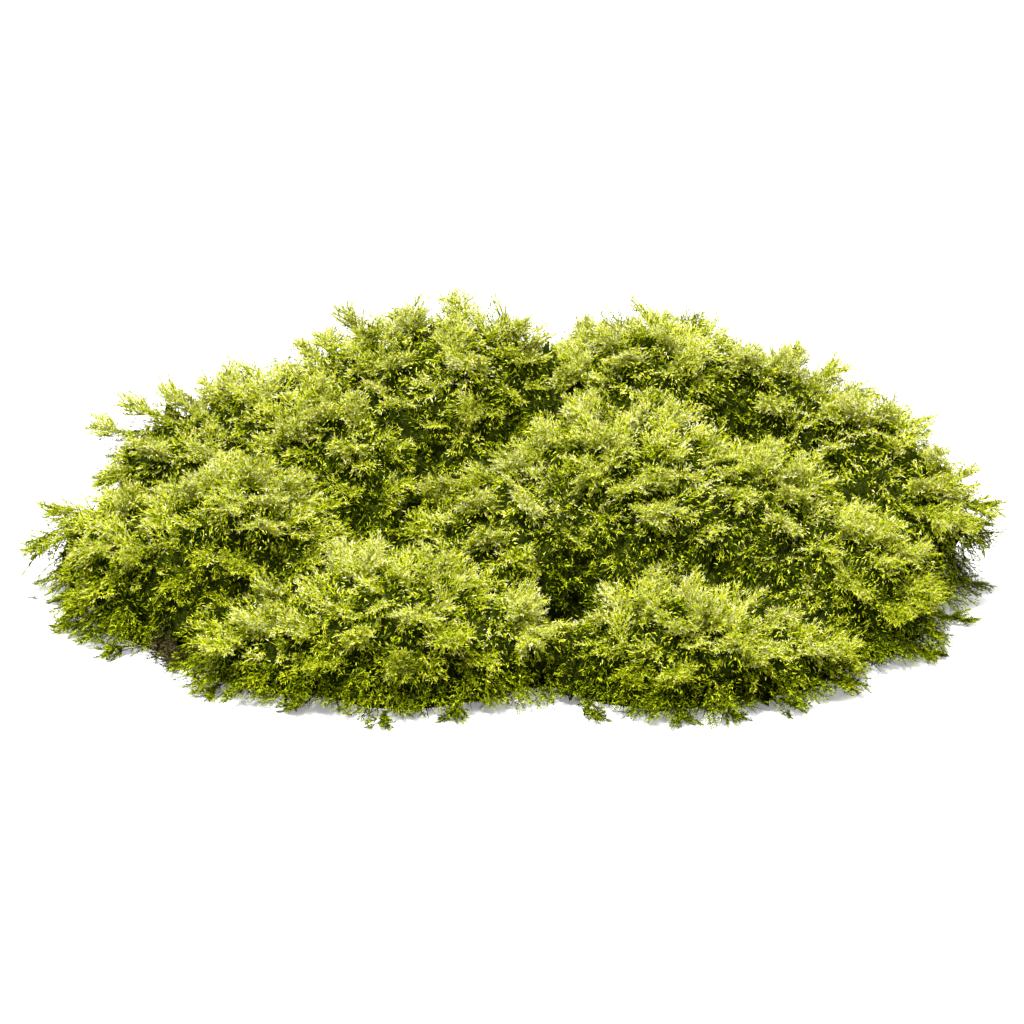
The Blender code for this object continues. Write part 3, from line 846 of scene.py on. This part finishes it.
def make_old_growth_material():
    """Old stems and leaves pressed together: dark brown and olive fibres, darker still as painted shade
    under the shoots.
    """
    material, tree, surface = new_material("old_growth")
    fibres = add_noise(tree, {"Scale": 420.0, "Detail": 4.0, "Distortion": 1.4})
    tree.links.new(add_ramp(tree, FELT_AND_SHADE_COLOURS, fibres), surface.inputs["Base Color"])
    bump = add_node(tree, "ShaderNodeBump")
    set_inputs(bump, {"Strength": 0.8, "Distance": 0.8 * MM})
    tree.links.new(fibres, bump.inputs["Height"])
    tree.links.new(bump.outputs["Normal"], surface.inputs["Normal"])
    set_inputs(surface, {"Roughness": 0.9, "Specular IOR Level": 0.0})
    return material


# ---------------- Pieces ----------------
def in_sight(points, faces, old_growth):
    """True for each triangle that isn't buried in the old growth, where nobody sees it."""
    middles = points[faces].mean(axis=1)
    seen = np.ones(len(faces), dtype=bool)
    for i, middle in enumerate(middles):
        place, normal, _, _ = old_growth.find_nearest(middle)
        seen[i] = normal.dot(Vector(middle) - place) > -BURIED_DEPTH
    return seen


def add_piece(name, parts, materials, old_growth):
    """A piece from parts, each (points, faces, youth, tone, material's number), less what nobody sees."""
    growth = Growth()
    tones, numbers = [], []
    for points, faces, youth, tone, number in parts:
        # painted shade: leaves darker towards the floor
        growth.add(points, faces, youth + FOOT_PAINTED_SHADE * np.maximum(0.0, 1.0 - points[:, 2] / LOW_HEIGHT))
        tones.append(np.full(len(points), tone))
        numbers.append(np.full(len(faces), number))
    points, faces, youth = growth.gathered()
    seen = in_sight(points, faces, old_growth)
    used, faces = np.unique(faces[seen], return_inverse=True)
    points, faces = points[used], faces.reshape(-1, 3)
    mesh = bpy.data.meshes.new(name)
    mesh.vertices.add(len(points))
    mesh.vertices.foreach_set("co", points.astype(np.float32).ravel())
    mesh.loops.add(len(faces) * 3)
    mesh.loops.foreach_set("vertex_index", faces.astype(np.int32).ravel())
    mesh.polygons.add(len(faces))
    mesh.polygons.foreach_set("loop_start", np.arange(0, len(faces) * 3, 3, dtype=np.int32))
    mesh.polygons.foreach_set("material_index", np.concatenate(numbers)[seen].astype(np.int32))
    mesh.update(calc_edges=True)
    mesh.validate()
    # the leaves' age together with their painted light and shade, and each shoot's random tone
    for label, values in (("youth", youth), ("tone", np.concatenate(tones))):
        attribute = mesh.attributes.new(label, "FLOAT", "POINT")
        attribute.data.foreach_set("value", values[used].astype(np.float32))
    for material in materials:
        mesh.materials.append(material)
    piece = bpy.data.objects.new(name, mesh)
    bpy.context.scene.collection.objects.link(piece)
    return piece


def old_leaves_on(points, faces, chance):
    """Old leaves that stand all over a tuft's old growth, in the shade of its shoots."""
    corners, areas, normals = triangles_of(points, faces)
    count = round(areas.sum() * OLD_LEAVES_PER_AREA)
    chosen, shares = scattered_on(areas, count, chance)
    places = (corners[chosen] * shares[:, :, None]).sum(axis=1)
    outward = normals[chosen]
    alongs = unit(0.6 * outward + chance.normal(0.0, 0.55, (count, 3)))
    growth = Growth()
    lengths = OLD_LEAF_LENGTH * chance.uniform(0.7, 1.3, count)
    widths = OLD_LEAF_WIDTH * chance.uniform(0.8, 1.2, count)
    uprights = unit(outward + chance.normal(0.0, 0.4, (count, 3)))
    youth = chance.uniform(*OLD_LEAF_YOUTH, count)
    add_leaves(growth, places, alongs, uprights, lengths, widths, youth)
    return growth.as_part(0.5)


def fill_between(surface, sprays, chance):
    """Small leaves between the sprigs, paler the nearer they stand to the canopy: partly older leaves
    deeper down, partly painted shade in the depth.
    """
    face_light = surface.light[surface.faces].mean(axis=1)
    weights = surface.areas * np.interp(face_light, (0.0, SHADE), (FILL_IN_SHADE, 1.0))
    count = round(weights[surface.open].sum() * FILL_PER_AREA)
    spots = surface.at_random(count, weights, chance)
    places, outward = spots.places, unit(spots.ways)
    depth = chance.random(count)
    nearest, fullness = sprays.cover(places)
    places += outward * (between(SPRAY_RISE, fullness) - between(FILL_DEPTH, depth))[:, None]
    fanned = unit(places - sprays.feet[nearest])
    alongs = unit(fanned + chance.normal(0.0, FILL_STRAY, (count, 3)))
    uprights = unit(outward + chance.normal(0.0, FILL_ROLL, (count, 3)))
    lengths = LEAF_LENGTH * chance.uniform(*FILL_SIZES, count)
    widths = LEAF_WIDTH * chance.uniform(*FILL_SIZES, count)
    youth = np.minimum(between(FILL_YOUTH_AND_SHADE, depth) + chance.normal(0.0, LEAF_TONES, count), YOUNGEST)
    # painted light and shade of each leaf's place, and painted shade between the sprays
    youth = youth + spots.shade + between(SPRAY_PAINTED_LIGHT_AND_SHADE, fullness)
    growth = Growth()
    add_leaves(growth, places, alongs, uprights, lengths, widths, youth)
    return growth.as_part(0.5)


def add_sprays(surface, sprays, parts, chance):
    """A leader and branches beside it at each tip of the tuft's solid, and pairs of branches elsewhere."""
    apart = np.linalg.norm(sprays.tips[:, None] - surface.points[None], axis=2)
    light = surface.light[apart.argmin(axis=1)]
    heights = sprays.tips[:, 2] / surface.points[:, 2].max()
    for i, (tip, way, foot) in enumerate(zip(sprays.tips, sprays.ways, sprays.feet)):
        leads = i < sprays.leading
        # painted light and shade of the spray's place, and the painted light on a spray
        youth = shade_at(light[i], heights[i], way) + between(SPRAY_PAINTED_LIGHT_AND_SHADE, 1.0)
        stray = chance.normal(0.0, SPRAY_STRAY, 3) * SPRAY_DEPTH
        middle = unit(tip - foot + (SPRAY_LIFT * SPRAY_DEPTH) * UP + stray)
        front = unit(across(way, middle))
        members = [(BRANCHES, BRANCH_LENGTH, turn) for turn in (BRANCH_TURNS if leads else PAIR_TURNS)]
        if leads and sprays.is_tall[i]:
            members += [(PLUMES, PLUME_LENGTH, turn) for turn in PLUME_TURNS]
        elif leads:
            members.append((LEADERS, LEADER_LENGTH, 0.0))
        for patterns, length, turn in members:
            angle = math.radians(SPRAY_FAN * turn + chance.normal(0.0, FAN_STRAY))
            direction = turned(middle, front, angle)
            pattern, scale = pick(patterns, SHOOT_SCALES, chance)
            reach = np.linalg.norm(tip - foot) * (1.0 - TURNED_SHORTER * abs(turn))
            start = tip - middle * np.linalg.norm(tip - foot) + direction * (reach - length * scale)
            facing = front + chance.normal(0.0, SHOOT_ROLL, 3)
            add_shoot(parts, pattern, scale, start, direction, facing, youth, 0, chance)


def add_skirt(surface, parts, chance):
    """Flat shoots that droop from the tuft's lowest edge and lie on the floor round it."""
    spots = surface.scatter(SKIRT_SPACING, chance, np.zeros((0, 3)))
    low = spots.places[:, 2] < SKIRT_HEIGHT
    for place, way in zip(spots.places[low], spots.ways[low]):
        outward = turned(unit(way * LEVEL), UP, chance.normal(0.0, SKIRT_SCATTER))
        less = 1.0 - SKIRT_LESS * place[2] / SKIRT_HEIGHT
        tip = place + outward * chance.uniform(*SKIRT_REACH) * less
        tip[2] = chance.uniform(*SKIRT_TIP) + SKIRT_HANG * place[2]
        direction = unit(tip - place + way * SKIRT_ROOT)
        pattern, scale = pick(SKIRTS, SKIRT_SCALES, chance)
        foot = tip - direction * SKIRT_LENGTH * scale
        front = UP + chance.normal(0.0, SHOOT_ROLL, 3)
        number = 2 if on_bare_spot(place, (0.6, 1.2), chance) else 0
        add_shoot(parts, pattern, scale, foot, direction, front, 0.0, number, chance)


def dress_tuft(number, node, surface, inside, old_growth, materials):
    """The shoots of one tuft: its sprays, the sprigs on and between them, and a skirt at its foot."""
    chance = np.random.default_rng(number)
    sprays = Sprays(surface, chance)
    parts = [
        (*inside, 0.0, 0.5, 1),
        old_leaves_on(inside[0], inside[1][surface.open], chance),
        fill_between(surface, sprays, chance),
    ]
    add_sprays(surface, sprays, parts, chance)

    spots = surface.scatter(SPRIG_SPACING, chance, sprays.tips[: sprays.leading])
    nearest, fullness = sprays.cover(spots.places)
    canopy = spots.places + spots.ways * between(SPRAY_RISE, fullness)[:, None]
    # painted light and shade of each sprig's place, and painted shade between the sprays
    youth = spots.shade + between(SPRAY_PAINTED_LIGHT_AND_SHADE, fullness)
    for i, tip in enumerate(canopy):
        fanned = unit(tip - sprays.feet[nearest[i]])
        to_light = max(0.0, 1.0 - spots.light[i]) * SPRIG_TO_LIGHT
        direction = unit(fanned + to_light * spots.skyward[i] + chance.normal(0.0, SPRIG_STRAY, 3))
        pattern, scale = pick(SPRIGS, SPRIG_SCALES, chance)
        foot = tip - direction * (SPRIG_LENGTH * scale - chance.uniform(*TIP_SCATTER))
        front = spots.ways[i] + chance.normal(0.0, SPRIG_ROLL, 3)
        number = 2 if on_bare_spot(tip, (0.4, 1.0), chance) else 0
        add_shoot(parts, pattern, scale, foot, direction, front, youth[i], number, chance)

    add_skirt(surface, parts, chance)
    piece = add_piece(node.replace("_tuft", "_moss"), parts, materials, old_growth)
    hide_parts(node)
    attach(piece, "root")


def dress_trailing_shoot(number, node, solid, old_growth, materials):
    """A feathery shoot that lies on the floor, along the line that its solid follows there."""
    chance = np.random.default_rng(500 + number)
    points = solid[0]
    line = points[points[:, 2] < MERGED]
    line = line[np.argsort(np.linalg.norm(line[:, :2], axis=1))]
    line[0] -= unit(line[1] - line[0]) * TRAILING_FOOT
    length = np.linalg.norm(np.diff(line, axis=0), axis=1).sum()
    line[:, 2] = np.linspace(*TRAILING_RISE, len(line))
    growth = Growth()
    styles = [style_of(TRAILING, width) for width in TRAILING_WIDTHS]
    add_plume(growth, line, length, UP, 0.25, *styles, chance)
    parts = [growth.as_part(chance.random())]
    piece = add_piece(node.replace("shoot", "moss"), parts, materials, old_growth)
    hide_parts(node)
    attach(piece, "root")


def on_rim(rim, chance):
    """A random place on the mat's rim, between two of its corners."""
    corner = chance.integers(len(rim))
    share = chance.random()
    return rim[corner] * (1.0 - share) + rim[(corner + 1) % len(rim)] * share


def dress_mat(solid, old_growth, materials):
    """The felt of old growth under the tufts: a rough slab with old stems that stick out all round it."""
    chance = np.random.default_rng(900)
    points, faces = solid
    rim = points[(points[:, 2] > 1.0 * MM) & (points[:, 2] < 3.0 * MM)]
    rim = rim[np.argsort(np.arctan2(rim[:, 1], rim[:, 0]))]
    growth = Growth()
    for _ in range(OLD_STEMS):
        place = on_rim(rim, chance)
        outward = unit(place * LEVEL)
        way = turned(outward, UP, chance.normal(0.0, 0.8))
        length = chance.uniform(*OLD_STEM_LENGTH)
        lift = chance.uniform(*OLD_STEM_RISE)
        foot = place - outward * chance.uniform(*OLD_STEM_ROOT) * MM
        foot += UP * chance.uniform(*OLD_STEM_LEVEL) * MM
        path = arched_path(foot, unit(way + lift * UP), -UP, length, chance.uniform(0.2, 0.7), 4)
        radius = OLD_STEM_RADIUS * chance.uniform(0.7, 1.3)
        add_stem(growth, LONG_STEM, path, radius, 0.4, (0.2, chance.uniform(0.3, 1.0)))
    level = points * LEVEL
    inset = np.minimum(MAT_INSET, 0.1 * np.linalg.norm(level, axis=1))
    parts = [(points - unit(level) * inset[:, None], faces, 0.1, 0.5, 2), growth.as_part(0.5)]
    for _ in range(OLD_SPRIGS):
        angle, out = chance.uniform(0.0, math.tau), BARE_RADIUS * math.sqrt(chance.random())
        place = BARE_SPOT + np.array((math.cos(angle), math.sin(angle), 0.0)) * out
        place[2] = chance.uniform(1.0, 7.0) * MM
        outward = unit(BARE_SPOT * LEVEL)
        direction = unit(outward + chance.normal(0.0, 0.6, 3))
        pattern, scale = pick(SPRIGS, SPRIG_SCALES, chance)
        foot = place - direction * SPRIG_LENGTH * scale * 0.6
        add_shoot(parts, pattern, scale, foot, direction, UP, 0.0, 0, chance)
    for _ in range(MAT_SHOOTS):
        place = on_rim(rim, chance)
        outward = turned(unit(place * LEVEL), UP, chance.normal(0.0, 0.6))
        tip = place + outward * chance.uniform(*MAT_SHOOT_REACH)
        tip[2] = chance.uniform(*MAT_SHOOT_TIP)
        direction = unit(outward + UP * chance.uniform(-0.15, 0.25))
        pattern, scale = pick(BRANCHES, MAT_SHOOT_SCALES, chance)
        foot = tip - direction * BRANCH_LENGTH * scale
        number = 0 if on_bare_spot(place, (0.7, 1.3), chance) else 1
        add_shoot(parts, pattern, scale, foot, direction, UP, MAT_SHOOT_YOUTH, number, chance)
    piece = add_piece("old_growth_mat", parts, materials, old_growth)
    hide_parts("brown_mat")
    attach(piece, "root")


# ---------------- Floor, light and camera ----------------
def finish_stage(name, colour, roughness, glow, strength):
    """Names the object just made, gives it a plain material, and keeps its light off the moss."""
    thing = bpy.context.active_object
    thing.name = name
    material, _, surface = new_material(name + "_white")
    set_inputs(surface, {"Base Color": (*colour, 1.0), "Roughness": roughness})
    set_inputs(surface, {"Emission Color": (*glow, 1.0), "Emission Strength": strength})
    thing.data.materials.append(material)
    thing.visible_diffuse = False
    return thing


def add_floor():
    """A white floor. Its own faint glow keeps the shadows on it light."""
    deselect_all()
    bpy.ops.mesh.primitive_circle_add(vertices=96, radius=FLOOR_RADIUS, fill_type="NGON")
    floor = finish_stage("floor", (0.93, 0.93, 0.92), 0.9, (1.0, 1.0, 0.98), 0.25)


def add_backdrop():
    """A white wall round the floor. It gives no light and no shade."""
    deselect_all()
    bpy.ops.mesh.primitive_cylinder_add(
        vertices=96,
        radius=FLOOR_RADIUS,
        depth=WALL_HEIGHT,
        end_fill_type="NOTHING",
        location=WALL_MIDDLE * UP,
    )
    wall = finish_stage("backdrop", (0.0, 0.0, 0.0), 0.5, (1.0, 1.0, 1.0), 1.0)
    wall.visible_glossy = wall.visible_transmission = wall.visible_shadow = False


def set_up(name, data, place, way):
    """A lamp or a camera at a place, that looks this way."""
    thing = bpy.data.objects.new(name, data)
    thing.location = place
    thing.rotation_euler = way.to_track_quat("-Z", "Y").to_euler()
    bpy.context.scene.collection.objects.link(thing)
    return thing


def light_studio():
    """A sky that is pale overhead, and one soft lamp in front on the left."""
    world = bpy.data.worlds.new("studio")
    world.use_nodes = True
    tree = world.node_tree
    sky = tree.nodes["Background"]
    sky.inputs["Strength"].default_value = 1.0
    way = add_node(tree, "ShaderNodeTexCoord")
    parts = add_node(tree, "ShaderNodeSeparateXYZ")
    tree.links.new(way.outputs["Generated"], parts.inputs["Vector"])
    tree.links.new(add_ramp(tree, SKY_TONES, parts.outputs["Z"]), sky.inputs["Color"])
    bpy.context.scene.world = world
    light = bpy.data.lights.new("key", "AREA")
    light.shape = "DISK"
    light.size = KEY_SIZE
    light.energy = KEY_POWER
    set_up("key", light, KEY_PLACE, KEY_AIM - KEY_PLACE)
    bpy.context.scene.view_settings.view_transform = "Standard"


def add_camera():
    camera = bpy.data.cameras.new("camera")
    camera.lens = CAMERA_LENS
    camera.sensor_width = 36.0
    camera.clip_start = 0.01
    elevation = math.radians(CAMERA_ELEVATION)
    back = Vector((0.0, -math.cos(elevation), math.sin(elevation)))
    place = CAMERA_AIM + back * CAMERA_DISTANCE
    bpy.context.scene.camera = set_up("camera", camera, place, -back)


# ---------------- The whole clump ----------------
def dress_clump():
    tufts = sorted(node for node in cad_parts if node.endswith("_tuft"))
    solids = {node: solid_of(node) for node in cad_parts}
    everything, owners = tree_of(solids)
    surfaces = {
        node: Surface(node, solids, everything, owners, np.random.default_rng(300 + number))
        for number, node in enumerate(tufts)
    }
    insides = {node: old_growth_of(surface) for node, surface in surfaces.items()}
    inside_tree, _ = tree_of(insides)
    moss_leaf = make_moss_material("moss_leaf", MOSS_COLOURS)
    old_growth = make_old_growth_material()
    old_brown = make_moss_material("old_brown", BROWN_COLOURS)
    materials = (moss_leaf, old_growth, old_brown)
    for number, node in enumerate(tufts):
        dress_tuft(number, node, surfaces[node], insides[node], inside_tree, materials)
    for number, node in enumerate(sorted(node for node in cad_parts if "trailing" in node)):
        dress_trailing_shoot(number, node, solids[node], inside_tree, (moss_leaf,))
    dress_mat(solids["brown_mat"], inside_tree, (old_brown, moss_leaf, old_growth))


dress_clump()
add_floor()
add_backdrop()
light_studio()
add_camera()
